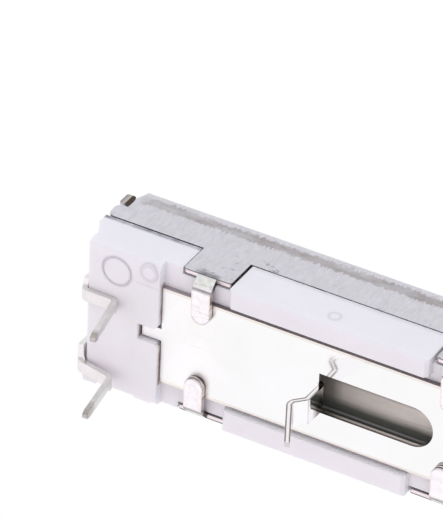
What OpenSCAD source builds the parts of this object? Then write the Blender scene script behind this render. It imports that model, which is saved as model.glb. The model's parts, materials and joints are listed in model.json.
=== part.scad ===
// Slide potentiometer with a folded steel cover, a moulded housing and a
// sheet-metal bottom plate. Millimetres. The origin is the middle of the
// cover's top face, +Z points along the lever, +X along the travel.

/* [Body] */
// Width over the cover's side walls
body_w = 9; // [8.6:0.1:10]
// Number of clinch tabs along each side
tab_count = 5; // [5:1:6]
// Spacing of the clinch tabs
tab_pitch = 14.6; // [14:0.05:15.5]
// Distance from each end to the middle of the first tab
tab_inset = 6.95; // [6.85:0.05:7.5]
// How far the front tabs sit inward of the back ones
tab_stagger = 0.24; // [0:0.02:0.3]
// Running gap between moulded and folded parts
seat_gap = 0.05; // [0.02:0.01:0.08]
// Gap between the housing's flanks and the cover's walls
wall_gap = 0.12; // [0.05:0.01:0.16]
// Gap between the cover's notched edges and the housing
notch_gap = 0.09; // [0.04:0.01:0.12]

/* [Cover] */
// Height of the cover's side walls
cover_h = 5.3; // [5.1:0.1:6]
// Thickness of the cover's sheet
sheet_t = 0.3; // [0.25:0.01:0.35]
// Outer radius of the long folds
fold_r = 0.55; // [0.45:0.01:0.7]
// Height of wall left above the notches
band_h = 3.2; // [2.9:0.1:3.5]
// Length of the full-height wall at an end tab
end_land = 2.8; // [2.6:0.1:3.2]
// Length of the full-height wall at an inner tab, front
front_land = 2.45; // [2.2:0.05:3]
// Length of the full-height wall at an inner tab, back
back_land = 4; // [3:0.1:4.4]
// Width of a clinch tab
tab_w = 1.1; // [0.9:0.05:1.4]
// How far a clinch tab reaches in from the wall
tab_reach = 2.7; // [2.4:0.05:3]
// Depth of the flap folded down over each end
flap_drop = 2.9; // [2.3:0.05:3]
// Width of the end flap
flap_w = 7.5; // [6.5:0.1:7.8]
// Height of the ears that lock the flap into the walls
ear_h = 0.9; // [0.6:0.05:0.95]
// Distance from each end to a panel screw's axis
screw_inset = 3.6; // [3.4:0.05:3.9]
// Radius of the tapped holes at the thread's crest
screw_r = 1.25; // [1:0.05:1.3]
// Depth of the drawn collar around a tapped hole
collar_h = 1.3; // [1:0.1:2]

/* [Bottom plate] */
// Width of the bottom plate
plate_w = 6; // [5.8:0.1:6.2]
// Thickness of the bottom plate
plate_t = 0.3; // [0.25:0.01:0.35]
// Length of a lug's slot
slot_len = 6.7; // [5.5:0.1:8]
// Width of a lug's slot
slot_w = 2.45; // [2.2:0.05:3]
// Sideways place of a lug's slot
slot_y = 0.07; // [-0.1:0.01:0.1]
// Distance from each end to a lug
lug_inset = 14; // [13:0.1:16]
// Width of a lug
lug_w = 1.55; // [1.2:0.05:1.65]
// Depth of a lug's tip below the plate
lug_drop = 4.6; // [4:0.1:6.5]
// Sideways place of a lug in its slot
lug_y = 0.25; // [0:0.05:0.35]
// Width of the locating tongue at each end
tongue_w = 0.75; // [0.5:0.05:1]
// Length of the locating tongue
tongue_len = 1.15; // [0.6:0.05:1.2]

/* [Housing] */
// How far the blocks stand below the cover's walls
block_drop = 0.6; // [0.45:0.05:0.8]
// Length of an end block's lower face
end_block_len = 4.6; // [4.5:0.05:5]
// Gap between the plate and the front side blocks
front_room = 0.42; // [0.3:0.02:0.6]
// Gap between the plate and the back side blocks
back_room = 0.2; // [0.1:0.02:0.4]
// Gap beside each front side block in its notch
front_side_gap = 0.17; // [0.05:0.01:0.4]
// Gap beside each back side block in its notch
back_side_gap = 0.07; // [0.05:0.01:0.3]
// Width of the cavity that the carrier runs in
cavity_w = 4.9; // [4.7:0.05:5.1]
// Distance from each end to the cavity
cavity_inset = 5.9; // [5.7:0.05:6]
// Rounding of an end block's long edges
end_round = 0.45; // [0.2:0.05:0.6]
// Radius of the plain ring on an end block
ring_r = 0.9; // [0.6:0.05:0.95]

/* [Resistor board] */
// Depth of the board's upper face below the cover's top
board_depth = 3.4; // [3.2:0.1:3.6]
// Thickness of the board
board_t = 0.9; // [0.7:0.05:1]
// Width of the board
board_w = 5.8; // [5.5:0.1:6.1]
// Distance of each track from the middle
track_y = 1.3; // [1.2:0.05:1.4]
// Width of the resistive track
track_w = 1.2; // [0.9:0.05:1.3]
// Width of the collector track
collector_w = 1; // [0.8:0.05:1.2]

/* [Terminals] */
// Thickness of a terminal's strip
strip_t = 0.3; // [0.25:0.01:0.35]
// Width of a terminal where it leaves the housing
strip_w = 1.45; // [1.2:0.05:1.6]
// Width of a terminal's foot under an end block
foot_w = 0.7; // [0.55:0.05:0.9]
// Width of a solder pin
pin_w = 0.48; // [0.4:0.02:0.54]
// Length of a solder pin below its foot
pin_len = 3.5; // [3:0.1:5]
// Length of the foot under an end block
foot_len = 1.8; // [1.4:0.05:2.2]
// Lean of the solder pins from upright
pin_lean = 11; // [0:1:12]
// Radius of a rivet's shank
rivet_r = 0.35; // [0.25:0.01:0.4]

/* [Slider] */
// Travel of the lever
travel = 45; // [20:1:46]
// Width of the lever along the travel
lever_w = 4; // [3:0.1:5]
// Thickness of the lever
lever_t = 1.2; // [1:0.05:1.4]
// Height of the lever above the cover
lever_h = 10; // [6:0.5:20]
// Gap around the lever in the cover's slot
lever_gap = 0.25; // [0.15:0.05:0.4]
// Length of the carrier
carrier_len = 9; // [8.4:0.1:9.6]
// Depth of the carrier's top below the cover's top face
carrier_depth = 0.75; // [0.7:0.01:0.85]
// Height of the carrier's block
carrier_h = 1.75; // [1.6:0.05:1.85]
// Thickness of the spring sheet
spring_t = 0.1; // [0.08:0.01:0.12]
// Width of one wiper finger
finger_w = 0.22; // [0.15:0.01:0.25]

/* [Hidden] */

$fn = 48;
eps = 0.01;

steel_grey = [0.79, 0.79, 0.8];
nylon_white = [0.91, 0.9, 0.93];
tin_bright = [0.9, 0.88, 0.9];
board_brown = [0.47, 0.42, 0.36];
carbon_black = [0.09, 0.09, 0.1];
silver_ink = [0.72, 0.72, 0.7];
tin_green = [0.62, 0.62, 0.56];
brass_tin = [0.75, 0.7, 0.55];
acetal_black = [0.12, 0.12, 0.13];
bronze = [0.78, 0.55, 0.32];

body_len = 2 * tab_inset + (tab_count - 1) * tab_pitch;
half_len = body_len / 2;
half_w = body_w / 2;
core_y = half_w - sheet_t - wall_gap;
core_top = -sheet_t - seat_gap;
rail_z = -cover_h;
plate_z = -cover_h - plate_t;
block_z = -cover_h - block_drop;
board_top = -board_depth;
board_under = -board_depth - board_t;

// Ends of the folded and moulded outlines, measured in from each end
land_shift = 0.12;
cover_end_x = 0.66;
end_out = 0.16;
end_top_round = 0.35;
end_low_round = 0.45;
ear_top = -1.07;
ear_out = 0.04;
ear_gap = 0.1;
ear_notch_x = 0.44;
ear_round = 0.13;
ear_t = 0.56;
land_round = 0.15;
lip_out = 0.16;
lip_h = 0.7;
lip_slope = 0.85;
block_end_x = 0.3;
core_end_x = sheet_t + seat_gap;
edge_cut = 0.12;
block_end_cut = 0.2;
plate_inset = end_block_len + seat_gap;
tongue_room = 0.11;
mouth_round = 0.3;
post_x = -0.04;
post_r = 0.35;
post_h = 1;
post_cut = 0.25;
post_back = 0.1;
step_x = 3.18;
step_h = 0.06;
step_front = 1.5;
step_back = 2.1;
gate_x = 3.1;
gate_len = 1;
gate_out = 0.15;
gate_low = 0.35;
gate_high = 1.1;
ejector_x = 3.97;
ejector_y = 0.65;
ejector_r = 0.5;
ring_x = 2.05;
ring_y = 1.25;
ring_wall = 0.12;
ring_h = 0.08;
pocket_deep = 1.3;
clinch_slope = 0.55;
clinch_bend_r = 0.2;

track_t = 0.03;
contact_gap = 0.04;
pad_len = 1.4;
rivet_inset = cavity_inset + 0.75;
rivet_gap = 0.02;
rivet_head_r = 1.6 * rivet_r;
rivet_head_t = 0.18;
rivet_top_r = rivet_r + 0.1;
tongue_past = 0.8;
tongue_tip = rivet_inset + tongue_past;
tongue_root = 1.1;
tongue_half = 0.6;
board_past = 1.2;
cavity_half = half_len - cavity_inset;
collar_r = screw_r + sheet_t;
lever_slot = travel + lever_w + 2 * lever_gap;
foot_gap = 0.02;
tab_gap = 0.05;
bend_r = 0.15;
lug_bend_r = 0.2;

carrier_top = -carrier_depth;
carrier_under = carrier_top - carrier_h;
carrier_w = cavity_w - 2 * seat_gap;
runner_w = 0.4;
lever_toe = 1.2;
lever_tip_cut = 0.3;
finger_room = 3.6;
finger_run = 2.6;
finger_tip = 0.6;
finger_rise = 0.25;
finger_base = 0.5;
wiper_end = 0.6;
spring_bend_r = 0.1;
leaf_side = 0.9;
leaf_flat = 0.5;
leaf_end = 0.2;
leaf_drop = 0.15;
leaf_tip = 0.45;
lever_foot_len = lever_w + 2 * lever_toe;
lever_foot_h = 0.8;
lever_fit = 0.03;

function heading(a) = [cos(a), sin(a)];
function left_of(a) = [-sin(a), cos(a)];
function angle_of(v) = atan2(v[1], v[0]);
function wrap(a) = a > 180 ? a - 360 : a < -180 ? a + 360 : a;
function reversed(list) = [for (i = [len(list) - 1 : -1 : 0]) list[i]];

// Points on one side of a bend of middle radius r at the path's corner b
function bend(a, b, c, r, side) =
    let (
        a_in = angle_of(b - a),
        turn = wrap(angle_of(c - b) - a_in),
        way = turn < 0 ? -1 : 1,
        start = b - heading(a_in) * r * tan(abs(turn) / 2),
        centre = start + left_of(a_in) * r * way
    )
    [for (i = [0 : 5]) centre - left_of(a_in + turn * i / 5) * (r * way - side)];

// Points along one side of a strip that follows the path
function strip_side(path, r, side) =
    let (
        n = len(path) - 1,
        first = angle_of(path[1] - path[0]),
        last = angle_of(path[n] - path[n - 1])
    )
    concat(
        [path[0] + left_of(first) * side],
        [for (i = [1 : 1 : n - 1]) each bend(path[i - 1], path[i], path[i + 1], r, side)],
        [path[n] + left_of(last) * side]
    );

// Side view of a bent strip of sheet
module strip(path, t, r = bend_r) {
    polygon(concat(strip_side(path, r + t / 2, t / 2), reversed(strip_side(path, r + t / 2, -t / 2))));
}

// Extrudes a side view, drawn in X and Z, from y = y0 to y = y1
module across(y0, y1) {
    translate([0, y1, 0])
        rotate([90, 0, 0])
            linear_extrude(y1 - y0)
                children();
}

// Extrudes an end view, drawn in Y and Z, from x = x0 to x = x1
module along(x0, x1) {
    translate([x0, 0, 0])
        rotate([90, 0, 90])
            linear_extrude(x1 - x0)
                children();
}

// Box between two corners
module block(low, high) {
    translate(low)
        cube(high - low);
}

module both_ends() {
    children();
    mirror([1, 0, 0])
        children();
}

module both_sides() {
    children();
    mirror([0, 1, 0])
        children();
}

// Middle of a tab along the body; each half of a row leans inward or outward by the stagger
function tab_x(i, side) =
    let (
        plain = -half_len + tab_inset + i * tab_pitch,
        inward = plain < -eps ? 1 : plain > eps ? -1 : 0
    )
    plain - side * inward * tab_stagger / 2;

// Ends of the full-height wall at a tab: side is -1 for the front row and 1 for the back
function land_len(i, side) = (i == 0 || i == tab_count - 1) ? end_land : side < 0 ? front_land : back_land;
function land_mid(i, side) = (i == 0 || i == tab_count - 1)
    ? (-half_len + tab_inset + i * tab_pitch) + (i == 0 ? 1 : -1) * land_shift
    : tab_x(i, side);
function land_low(i, side) = land_mid(i, side) - land_len(i, side) / 2;
function land_high(i, side) = land_mid(i, side) + land_len(i, side) / 2;

// Turns children that are drawn for the front row to the front or the back
module on_side(side) {
    mirror([0, side > 0 ? 1 : 0, 0])
        children();
}

// Quarter turns that round the lower corners of an end view
function round_corner(y, z, r, a0) = [for (i = [0 : 6]) [y, z] + r * heading(a0 + 15 * i)];

// ---- Cover ----

module cover_section() {
    inner_r = fold_r - sheet_t;
    difference() {
        polygon(concat(
            [[-half_w, -cover_h]],
            reversed(round_corner(-half_w + fold_r, -fold_r, fold_r, 90)),
            reversed(round_corner(half_w - fold_r, -fold_r, fold_r, 0)),
            [[half_w, -cover_h]]
        ));
        polygon(concat(
            [[-half_w + sheet_t, -cover_h - 1]],
            reversed(round_corner(-half_w + fold_r, -fold_r, inner_r, 90)),
            reversed(round_corner(half_w - fold_r, -fold_r, inner_r, 0)),
            [[half_w - sheet_t, -cover_h - 1]]
        ));
    }
}

// What is cut away at the left end of the channel, seen from the side: room for the flap
// above, and a notch for its ear
module cover_end_cut() {
    far = half_len + 1;
    notch_low = ear_top - ear_h - ear_gap;
    end_x = -half_len - end_out;
    polygon(concat(
        [
            [-far, 1],
            [-half_len + cover_end_x, 1],
            [-half_len + cover_end_x, -fold_r],
            [-half_len + ear_notch_x, ear_top],
            [-half_len + ear_notch_x, notch_low]
        ],
        round_corner(end_x + end_top_round, notch_low - end_top_round, end_top_round, 90),
        round_corner(end_x + end_low_round, -band_h + end_low_round, end_low_round, 180),
        [
            [end_x + end_low_round, -cover_h - 1],
            [-far, -cover_h - 1]
        ]
    ));
}

// Flap folded down over the left end, with an ear in each wall's notch
module end_flap() {
    mid = sheet_t / 2;
    end_x = -half_len - end_out;
    across(-flap_w / 2, flap_w / 2)
        strip([
            [-half_len + cover_end_x + sheet_t, -mid],
            [end_x + mid, -mid],
            [end_x + mid, -flap_drop]
        ], sheet_t, fold_r - sheet_t);
    block([end_x, -core_y - eps, ear_top - ear_h], [end_x + sheet_t, core_y + eps, ear_top]);
    both_sides()
        across(-half_w - ear_out, -core_y)
            translate([end_x, ear_top - ear_h])
                round_plate(ear_t, ear_h, ear_round);
}

// Upright plate's outline with rounded corners, standing on its lower left corner
module round_plate(w, h, corner_r) {
    polygon(concat(
        round_corner(w - corner_r, h - corner_r, corner_r, 0),
        round_corner(corner_r, h - corner_r, corner_r, 90),
        round_corner(corner_r, corner_r, corner_r, 180),
        round_corner(w - corner_r, corner_r, corner_r, 270)
    ));
}

// Full-height wall at a tab, seen from the side, with rounded lower corners
module land_side(low_x, high_x) {
    low_z = -cover_h + land_round;
    polygon(concat(
        [[low_x, 0]],
        round_corner(low_x + land_round, low_z, land_round, 180),
        round_corner(high_x - land_round, low_z, land_round, 270),
        [[high_x, 0]]
    ));
}

// Tab folded under the bottom plate, seen from the end
module clinch_tab() {
    mid_y = -half_w + sheet_t / 2;
    flat_z = plate_z - tab_gap - sheet_t / 2;
    fold_z = flat_z + clinch_slope;
    tip_y = -half_w + tab_reach;
    intersection() {
        along(-tab_w / 2, tab_w / 2)
            strip([
                [mid_y, -cover_h + 0.1],
                [mid_y, fold_z],
                [mid_y + clinch_slope, flat_z],
                [tip_y, flat_z]
            ], sheet_t, clinch_bend_r);
        union() {
            translate([0, tip_y - tab_w / 2, -cover_h - 2])
                cylinder(h = 3, r = tab_w / 2);
            block([-tab_w / 2, -half_w - 1, -cover_h - 2], [tab_w / 2, tip_y - tab_w / 2, 0]);
        }
    }
}

module cover() {
    screw_x = half_len - screw_inset;
    color(steel_grey)
        difference() {
            union() {
                difference() {
                    along(-half_len - end_out, half_len + end_out)
                        cover_section();
                    both_ends()
                        across(-half_w - 1, half_w + 1)
                            cover_end_cut();
                    for (side = [-1, 1])
                        on_side(side)
                            difference() {
                                block(
                                    [-half_len - 1, -half_w - 1, -cover_h - 1],
                                    [half_len + 1, -1, -band_h]
                                );
                                for (i = [0 : tab_count - 1])
                                    across(-half_w - 2, 0)
                                        land_side(land_low(i, side), land_high(i, side));
                            }
                    block(
                        [-lever_slot / 2, -lever_t / 2 - lever_gap, -2],
                        [lever_slot / 2, lever_t / 2 + lever_gap, 1]
                    );
                }
                both_ends()
                    end_flap();
                for (side = [-1, 1], i = [0 : tab_count - 1])
                    translate([tab_x(i, side), 0, 0])
                        on_side(side)
                            clinch_tab();
                both_ends()
                    translate([-screw_x, 0, -collar_h])
                        cylinder(h = collar_h - sheet_t / 2, r = collar_r);
            }
            both_ends()
                translate([-screw_x, 0, -collar_h - 1])
                    cylinder(h = collar_h + 2, r = screw_r);
        }
}

// ---- Housing ----

// Side view of the left end block
module end_block_side() {
    top = -band_h - notch_gap;
    land_x = half_len + land_low(0, -1) - seat_gap;
    translate([-half_len, 0])
        polygon([
            [-lip_out, top],
            [-lip_out, top - lip_h],
            [block_end_x, top - lip_h - lip_slope],
            [block_end_x, block_z + edge_cut],
            [block_end_x + edge_cut, block_z],
            [end_block_len, block_z],
            [end_block_len, rail_z],
            [land_x, rail_z],
            [land_x, top]
        ]);
}

// End view that rounds an end block's long lower edges
module end_block_round() {
    polygon(concat(
        [[-half_w, 0]],
        round_corner(-half_w + end_round, block_z + end_round, end_round, 180),
        round_corner(half_w - end_round, block_z + end_round, end_round, 270),
        [[half_w, 0]]
    ));
}

// Rounded corner beside the second terminal
module corner_post() {
    low_y = max(terminal_2_y + strip_w / 2, terminal_2_foot_y + foot_w / 2) + seat_gap;
    high_y = half_w - post_back;
    r = post_r;
    intersection() {
        translate([-half_len + post_x, 0, block_z + eps])
            union() {
                translate([r, high_y - r, 0])
                    cylinder(h = post_h, r = r);
                block([0, low_y, 0], [1, high_y - r, post_h]);
                block([r, low_y, 0], [1, high_y, post_h]);
            }
        across(-half_w, half_w)
            translate([-half_len, block_z])
                polygon([
                    [post_x, 2 * post_h],
                    [post_x, post_cut],
                    [post_x + post_cut, 0],
                    [1, 0],
                    [1, 2 * post_h]
                ]);
    }
}

// Pocket for the plate's tongue, seen from above, with a rounded mouth
module tongue_pocket() {
    half_pocket = tongue_w / 2 + tongue_room;
    deep_x = plate_inset - tongue_len - tongue_room;
    bend_x = end_block_len - mouth_round;
    bend_y = half_pocket + mouth_round;
    polygon(concat(
        [[deep_x, -half_pocket]],
        reversed(round_corner(bend_x, -bend_y, mouth_round, 0)),
        [[end_block_len + 1, -bend_y], [end_block_len + 1, bend_y]],
        reversed(round_corner(bend_x, bend_y, mouth_round, 270)),
        [[deep_x, half_pocket]]
    ));
}

module end_block() {
    difference() {
        union() {
            intersection() {
                across(-half_w, half_w)
                    end_block_side();
                along(-half_len - 1, 0)
                    end_block_round();
            }
            corner_post();
            // Low pad beside the plate
            block(
                [-half_len + step_x, -half_w + step_front, block_z - step_h],
                [-half_len + end_block_len, half_w - step_back, block_z + eps]
            );
            // Gate stub on one side
            block(
                [-half_len + gate_x, half_w - eps, block_z + gate_low],
                [-half_len + gate_x + gate_len, half_w + gate_out, block_z + gate_high]
            );
            // Ejector stub at the other
            translate([-half_len + ejector_x, -half_w + ejector_y, block_z - step_h])
                cylinder(h = step_h + end_round / 2, r = ejector_r);
        }
        // Plain moulded ring
        translate([-half_len + ring_x, -half_w + ring_y, block_z - 1])
            difference() {
                cylinder(h = 1 + ring_h, r = ring_r);
                translate([0, 0, -1])
                    cylinder(h = 3, r = ring_r - ring_wall);
            }
        translate([-half_len, 0, block_z - 1])
            linear_extrude(rail_z - block_z + 1)
                tongue_pocket();
    }
}

// Block that fills the long notch of the cover after tab i
module side_block(i, side) {
    side_gap = side < 0 ? front_side_gap : back_side_gap;
    inner_y = plate_w / 2 + (side < 0 ? front_room : back_room);
    low_x = land_high(i, side) + side_gap;
    high_x = land_low(i + 1, side) - side_gap;
    on_side(-side)
        intersection() {
            along(low_x, high_x)
                polygon([
                    [core_y - 0.2, -band_h - notch_gap],
                    [half_w, -band_h - notch_gap],
                    [half_w, block_z + edge_cut],
                    [half_w - edge_cut, block_z],
                    [inner_y, block_z],
                    [inner_y, rail_z],
                    [core_y - 0.2, rail_z]
                ]);
            across(0, body_w)
                polygon([
                    [low_x, 0],
                    [low_x, block_z + block_end_cut],
                    [low_x + block_end_cut, block_z],
                    [high_x - block_end_cut, block_z],
                    [high_x, block_z + block_end_cut],
                    [high_x, 0]
                ]);
        }
}

module housing() {
    color(nylon_white)
        difference() {
            union() {
                block([-half_len + core_end_x, -core_y, rail_z], [half_len - core_end_x, core_y, core_top]);
                both_ends()
                    end_block();
                for (side = [-1, 1], i = [0 : tab_count - 2])
                    side_block(i, side);
            }
            // Cavity, open above for the carrier and below under the board
            block([-cavity_half, -cavity_w / 2, rail_z - 1], [cavity_half, cavity_w / 2, 1]);
            // Groove that holds the board's long edges and its ends
            board_space(seat_gap);
            // Room over the rounded folds of the cover
            both_sides()
                along(-half_len, half_len)
                    polygon([
                        [core_y - fold_r, core_top + eps],
                        [core_y + eps, core_top + eps],
                        [core_y + eps, core_top - fold_r]
                    ]);
            both_ends()
                across(-half_w, half_w)
                    translate([-half_len + core_end_x - eps, core_top + eps])
                        polygon([[0, 0], [fold_r, 0], [0, -fold_r]]);
            // Pockets under the tapped holes
            both_ends()
                translate([-half_len + screw_inset, 0, -collar_h - pocket_deep])
                    cylinder(h = 4, r = collar_r + seat_gap);
            terminal_space(terminal_1_y, -track_y);
            terminal_space(terminal_2_y, track_y);
            mirror([1, 0, 0])
                terminal_space(terminal_1_y, -track_y);
        }
}

// ---- Bottom plate ----

lug_x = -half_len + lug_inset;
lug_kink = 0.41;
lug_kink_top = 1.5;
lug_kink_mid = 2.1;
lug_kink_low = 2.4;
lug_tip_x = 0.72;
lug_tip_w = 0.3;

// The left lug, seen from the side
module lug_side() {
    mid_z = plate_z + plate_t / 2;
    tip_z = plate_z - lug_drop;
    strip([
        [lug_x - 1, mid_z],
        [lug_x + plate_t / 2 + 0.05, mid_z],
        [lug_x + plate_t / 2, plate_z - lug_kink_top],
        [lug_x - lug_kink, plate_z - lug_kink_mid],
        [lug_x - lug_kink, plate_z - lug_kink_low],
        [lug_x + lug_tip_x, tip_z]
    ], plate_t, lug_bend_r);
}

// The lug seen from the end: it narrows to its tip
module lug_front() {
    tip_z = plate_z - lug_drop;
    polygon([
        [lug_y - lug_w / 2, 0],
        [lug_y - lug_w / 2, plate_z - lug_kink_low],
        [lug_y - lug_tip_w / 2, tip_z],
        [lug_y + lug_tip_w / 2, tip_z],
        [lug_y + lug_w / 2, plate_z - lug_kink_low],
        [lug_y + lug_w / 2, 0]
    ]);
}

// Slot that the lug was cut from: square at the lug, round at the far end
module lug_slot() {
    translate([lug_x, slot_y, plate_z - 1]) {
        translate([0, -slot_w / 2, 0])
            cube([slot_len - slot_w / 2, slot_w, 3]);
        translate([slot_len - slot_w / 2, 0, 0])
            cylinder(h = 3, r = slot_w / 2);
    }
}

module bottom_plate() {
    plate_end = half_len - plate_inset;
    color(tin_bright)
        union() {
            difference() {
                union() {
                    block([-plate_end, -plate_w / 2, plate_z], [plate_end, plate_w / 2, rail_z]);
                    block(
                        [-plate_end - tongue_len, -tongue_w / 2, plate_z],
                        [plate_end + tongue_len, tongue_w / 2, rail_z]
                    );
                }
                both_ends()
                    lug_slot();
            }
            both_ends()
                intersection() {
                    across(-slot_w, slot_w)
                        lug_side();
                    along(lug_x - 1, lug_x + slot_len)
                        lug_front();
                }
        }
}

// ---- Resistor board ----

module board_space(gap) {
    end = half_len - rivet_inset + board_past;
    block(
        [-end - gap, -board_w / 2 - gap, board_under - gap],
        [end + gap, board_w / 2 + gap, board_top + gap]
    );
}

module rivet_at(y) {
    translate([-half_len + rivet_inset, y, 0])
        children();
}

module rivet_hole() {
    translate([0, 0, -cover_h])
        cylinder(h = cover_h, r = rivet_r + rivet_gap);
}

module resistor_board() {
    color(board_brown)
        difference() {
            board_space(0);
            rivet_at(-track_y)
                rivet_hole();
            rivet_at(track_y)
                rivet_hole();
            mirror([1, 0, 0])
                rivet_at(-track_y)
                    rivet_hole();
        }
}

// Printed pad from the rivet to the track's end
pad_x = -half_len + rivet_inset + rivet_r + 0.1;

module resistive_track() {
    color(carbon_black)
        block(
            [pad_x + pad_len, -track_y - track_w / 2, board_top],
            [-pad_x - pad_len, -track_y + track_w / 2, board_top + track_t]
        );
}

module collector_track() {
    color(silver_ink)
        block(
            [pad_x, track_y - collector_w / 2, board_top],
            [-pad_x, track_y + collector_w / 2, board_top + track_t]
        );
}

module silver_pad() {
    color(silver_ink)
        block(
            [pad_x, -track_y - track_w / 2, board_top],
            [pad_x + pad_len, -track_y + track_w / 2, board_top + track_t]
        );
}

module silver_pad_left() {
    silver_pad();
}

module silver_pad_right() {
    mirror([1, 0, 0])
        silver_pad();
}

// ---- Terminals ----

terminal_1_y = -track_y;
terminal_1_foot_y = terminal_1_y + 0.05;
terminal_2_y = 2.9;
terminal_2_foot_y = terminal_2_y + 0.45;
terminal_2_foot_more = 0.12;
terminal_2_stand_off = 0.13;
terminal_2_slope = 0.5;
terminal_2_lean = 8.5;
neck_over = 0.2;
pin_shoulder = 0.25;
pin_tip_cut = 0.14;
end_face_x = -half_len + block_end_x;

// Flat tongue from the end block to its rivet under the board
module tongue(y, rivet_y, gap) {
    wide = strip_w / 2 + gap;
    narrow = tongue_half + gap;
    translate([-half_len, 0, board_under - strip_t - gap])
        linear_extrude(strip_t + gap)
            polygon([
                [tongue_root, y - wide],
                [tongue_root + 1, y - wide],
                [cavity_inset - 1, rivet_y - narrow],
                [tongue_tip + gap, rivet_y - narrow],
                [tongue_tip + gap, rivet_y + narrow],
                [cavity_inset - 1, rivet_y + narrow],
                [tongue_root + 1, y + wide],
                [tongue_root, y + wide]
            ]);
}

// Space for a terminal through an end block, with a mouth that clears its upper bend
module terminal_space(y, rivet_y) {
    half = strip_w / 2 + foot_gap;
    low_z = board_under - strip_t - foot_gap;
    mouth = bend_r + foot_gap;
    across(y - half, y + half)
        translate([-half_len, 0])
            polygon([
                [-1, board_under],
                [tongue_root + eps, board_under],
                [tongue_root + eps, low_z],
                [block_end_x + mouth, low_z],
                [block_end_x, low_z - mouth],
                [block_end_x, rail_z],
                [-1, rail_z]
            ]);
    tongue(y, rivet_y, foot_gap);
}

// Side view of a terminal: tongue, drop down the end face, foot and pin
module terminal_side(stand_off, foot_slope, foot_more, lean) {
    mid = strip_t / 2;
    down_x = end_face_x - stand_off - mid;
    tongue_z = board_under - mid;
    foot_z = block_z - foot_gap - mid;
    foot_x = end_face_x + foot_len + foot_more;
    pin_z = foot_z - foot_slope;
    strip([
        [-half_len + tongue_root + eps, tongue_z],
        [down_x, tongue_z],
        [down_x, foot_z],
        [foot_x, pin_z],
        [foot_x + pin_len * tan(lean), pin_z - pin_len]
    ], strip_t);
}

// End view of a terminal: wide strip above, narrower foot, and a pin with a pointed tip
module terminal_front(y, foot_y, foot_slope, neck) {
    neck_z = block_z + neck;
    shoulder_z = block_z - foot_slope - strip_t - pin_shoulder;
    tip_z = block_z - foot_gap - strip_t / 2 - foot_slope - pin_len;
    tip_cut = pin_tip_cut;
    foot_low = foot_y - foot_w / 2;
    polygon([
        [y - strip_w / 2, 0],
        [y - strip_w / 2, neck_z],
        [foot_low, neck_z - 0.1],
        [foot_low, tip_z + 2 * tip_cut],
        [foot_low + tip_cut, tip_z - 0.1],
        [foot_low + pin_w - tip_cut, tip_z - 0.1],
        [foot_low + pin_w, tip_z + 2 * tip_cut],
        [foot_low + pin_w, shoulder_z],
        [foot_low + foot_w, shoulder_z],
        [foot_low + foot_w, neck_z - 0.1],
        [y + strip_w / 2, neck_z],
        [y + strip_w / 2, 0]
    ]);
}

module terminal(
    y, foot_y, rivet_y,
    stand_off = foot_gap, foot_slope = 0, foot_more = 0, lean = pin_lean, neck = neck_over
) {
    color(tin_green)
        difference() {
            union() {
                intersection() {
                    across(-half_w - 1, half_w + 1)
                        terminal_side(stand_off, foot_slope, foot_more, lean);
                    along(-half_len - 1, half_len)
                        terminal_front(y, foot_y, foot_slope, neck);
                }
                tongue(y, rivet_y, 0);
            }
            rivet_at(rivet_y)
                rivet_hole();
        }
}

module terminal_1() {
    terminal(terminal_1_y, terminal_1_foot_y, -track_y);
}

module terminal_2() {
    terminal(
        terminal_2_y, terminal_2_foot_y, track_y,
        stand_off = terminal_2_stand_off,
        foot_slope = terminal_2_slope,
        foot_more = terminal_2_foot_more,
        lean = terminal_2_lean,
        neck = 0
    );
}

module terminal_3() {
    mirror([1, 0, 0])
        terminal(terminal_1_y, terminal_1_foot_y, -track_y);
}

module rivet() {
    grip_top = board_top + track_t;
    grip_under = board_under - strip_t;
    color(brass_tin) {
        translate([0, 0, grip_under - rivet_head_t])
            cylinder(h = rivet_head_t, r = rivet_head_r);
        translate([0, 0, grip_under - rivet_head_t])
            cylinder(h = grip_top - grip_under + 2 * rivet_head_t, r = rivet_r);
        translate([0, 0, board_top])
            cylinder(h = rivet_head_t + track_t, r = rivet_top_r);
    }
}

module rivet_1() {
    rivet_at(-track_y)
        rivet();
}

module rivet_2() {
    rivet_at(track_y)
        rivet();
}

module rivet_3() {
    mirror([1, 0, 0])
        rivet_at(-track_y)
            rivet();
}

// ---- Slider ----

module carrier() {
    runner_z = board_top + seat_gap;
    slot_half = lever_t / 2 + lever_fit;
    foot_half = lever_foot_len / 2 + lever_fit;
    color(acetal_black)
        difference() {
            union() {
                block(
                    [-carrier_len / 2, -carrier_w / 2, carrier_under],
                    [carrier_len / 2, carrier_w / 2, carrier_top]
                );
                both_sides()
                    block(
                        [-carrier_len / 2, carrier_w / 2 - runner_w, runner_z],
                        [carrier_len / 2, carrier_w / 2, carrier_under + eps]
                    );
            }
            // Slot for the lever's stem, and the longer pocket for its foot
            block(
                [-lever_w / 2 - lever_fit, -slot_half, carrier_under - 1],
                [lever_w / 2 + lever_fit, slot_half, 1]
            );
            block(
                [-foot_half, -slot_half, carrier_under - 1],
                [foot_half, slot_half, carrier_under + lever_foot_h + lever_fit]
            );
        }
}

module lever() {
    tip_cut = lever_tip_cut;
    color(steel_grey)
        across(-lever_t / 2, lever_t / 2)
            polygon([
                [-lever_foot_len / 2, carrier_under],
                [lever_foot_len / 2, carrier_under],
                [lever_foot_len / 2, carrier_under + lever_foot_h],
                [lever_w / 2, carrier_under + lever_foot_h],
                [lever_w / 2, lever_h - tip_cut],
                [lever_w / 2 - tip_cut, lever_h],
                [-lever_w / 2 + tip_cut, lever_h],
                [-lever_w / 2, lever_h - tip_cut],
                [-lever_w / 2, carrier_under + lever_foot_h],
                [-lever_foot_len / 2, carrier_under + lever_foot_h]
            ]);
}

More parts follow.
